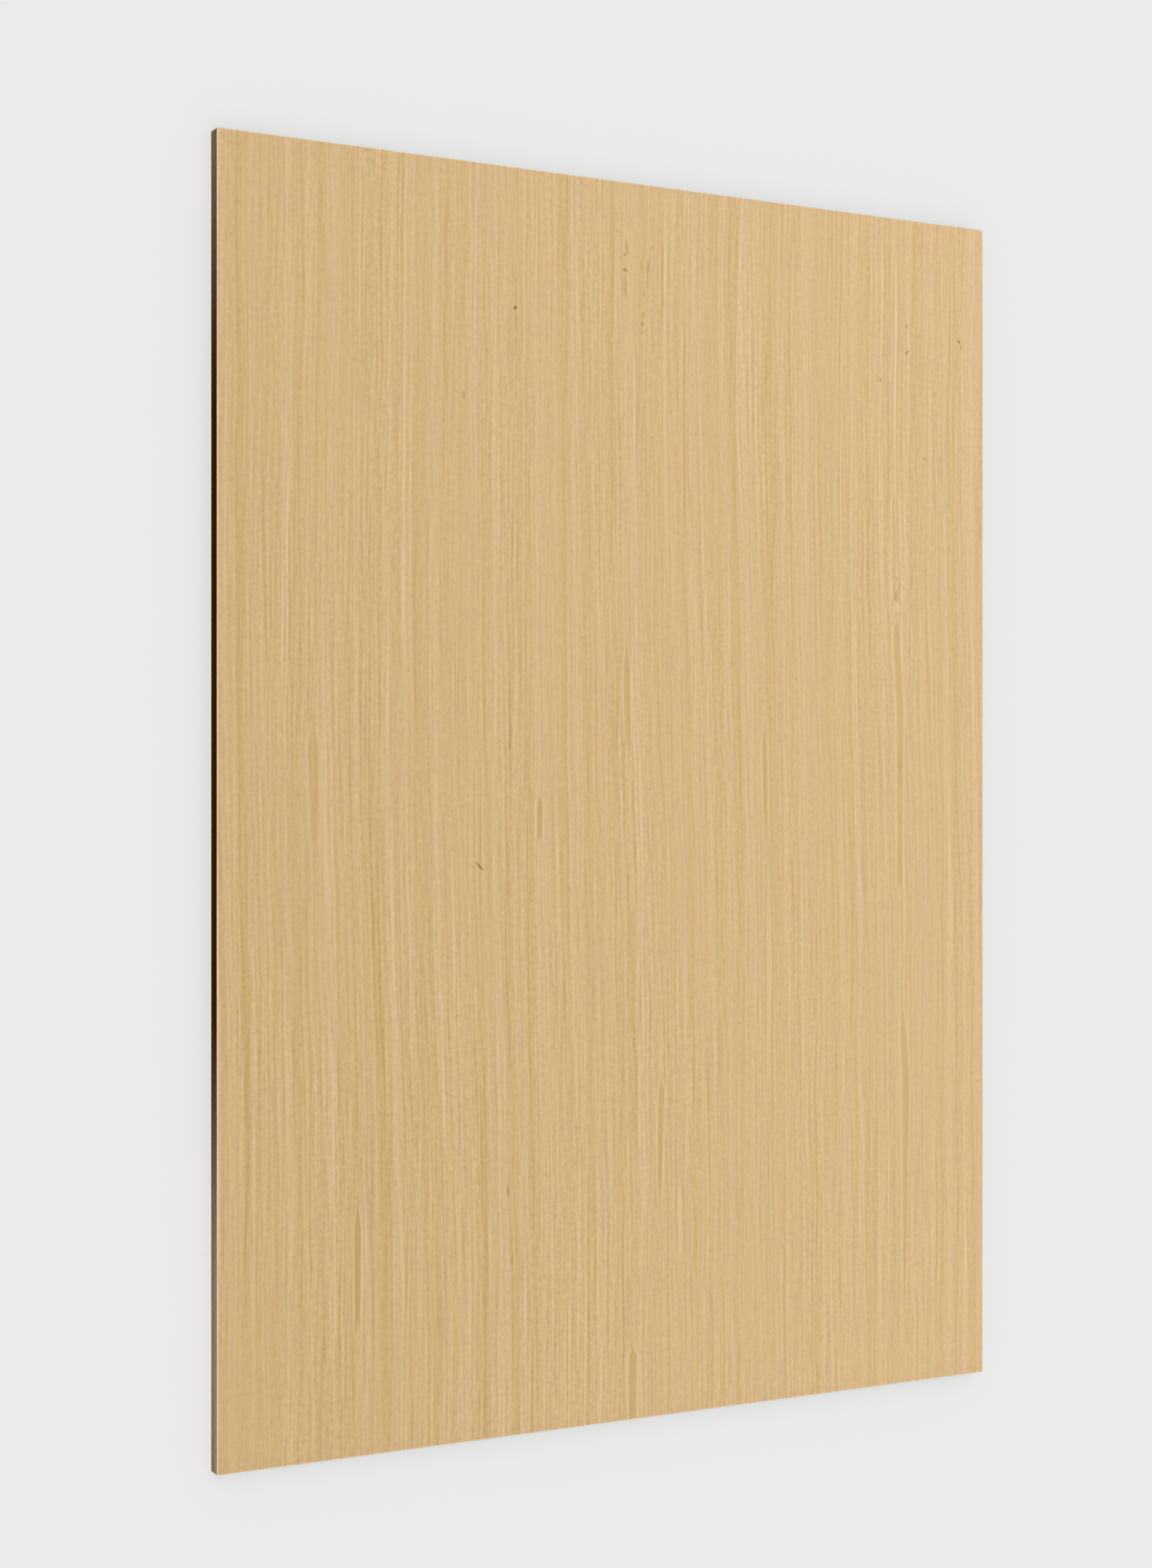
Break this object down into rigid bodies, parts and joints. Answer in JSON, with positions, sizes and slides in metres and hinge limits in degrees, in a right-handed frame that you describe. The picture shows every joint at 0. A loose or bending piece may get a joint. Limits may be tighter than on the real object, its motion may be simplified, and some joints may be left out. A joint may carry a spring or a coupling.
{
  "type": "wood veneer sheet",
  "caption": "Flat rectangular sheet of pale quarter-cut oak veneer stock with straight grain along its length and dark brown sealed edges.",
  "frame": {"origin": "middle of the back, the surface that the sheet lies on", "axes": "+X across the grain to the right, +Y along the grain to the head of the sheet, +Z out of the face"},
  "size_m": [0.21, 0.297, 0.004],
  "materials": {
    "oak_veneer": "fine sanded, satin, straight quarter-cut grain, edges sealed dark brown"
  },
  "bodies": {
    "root": {"veneer_sheet": "oak_veneer"}
  },
  "joints": []
}
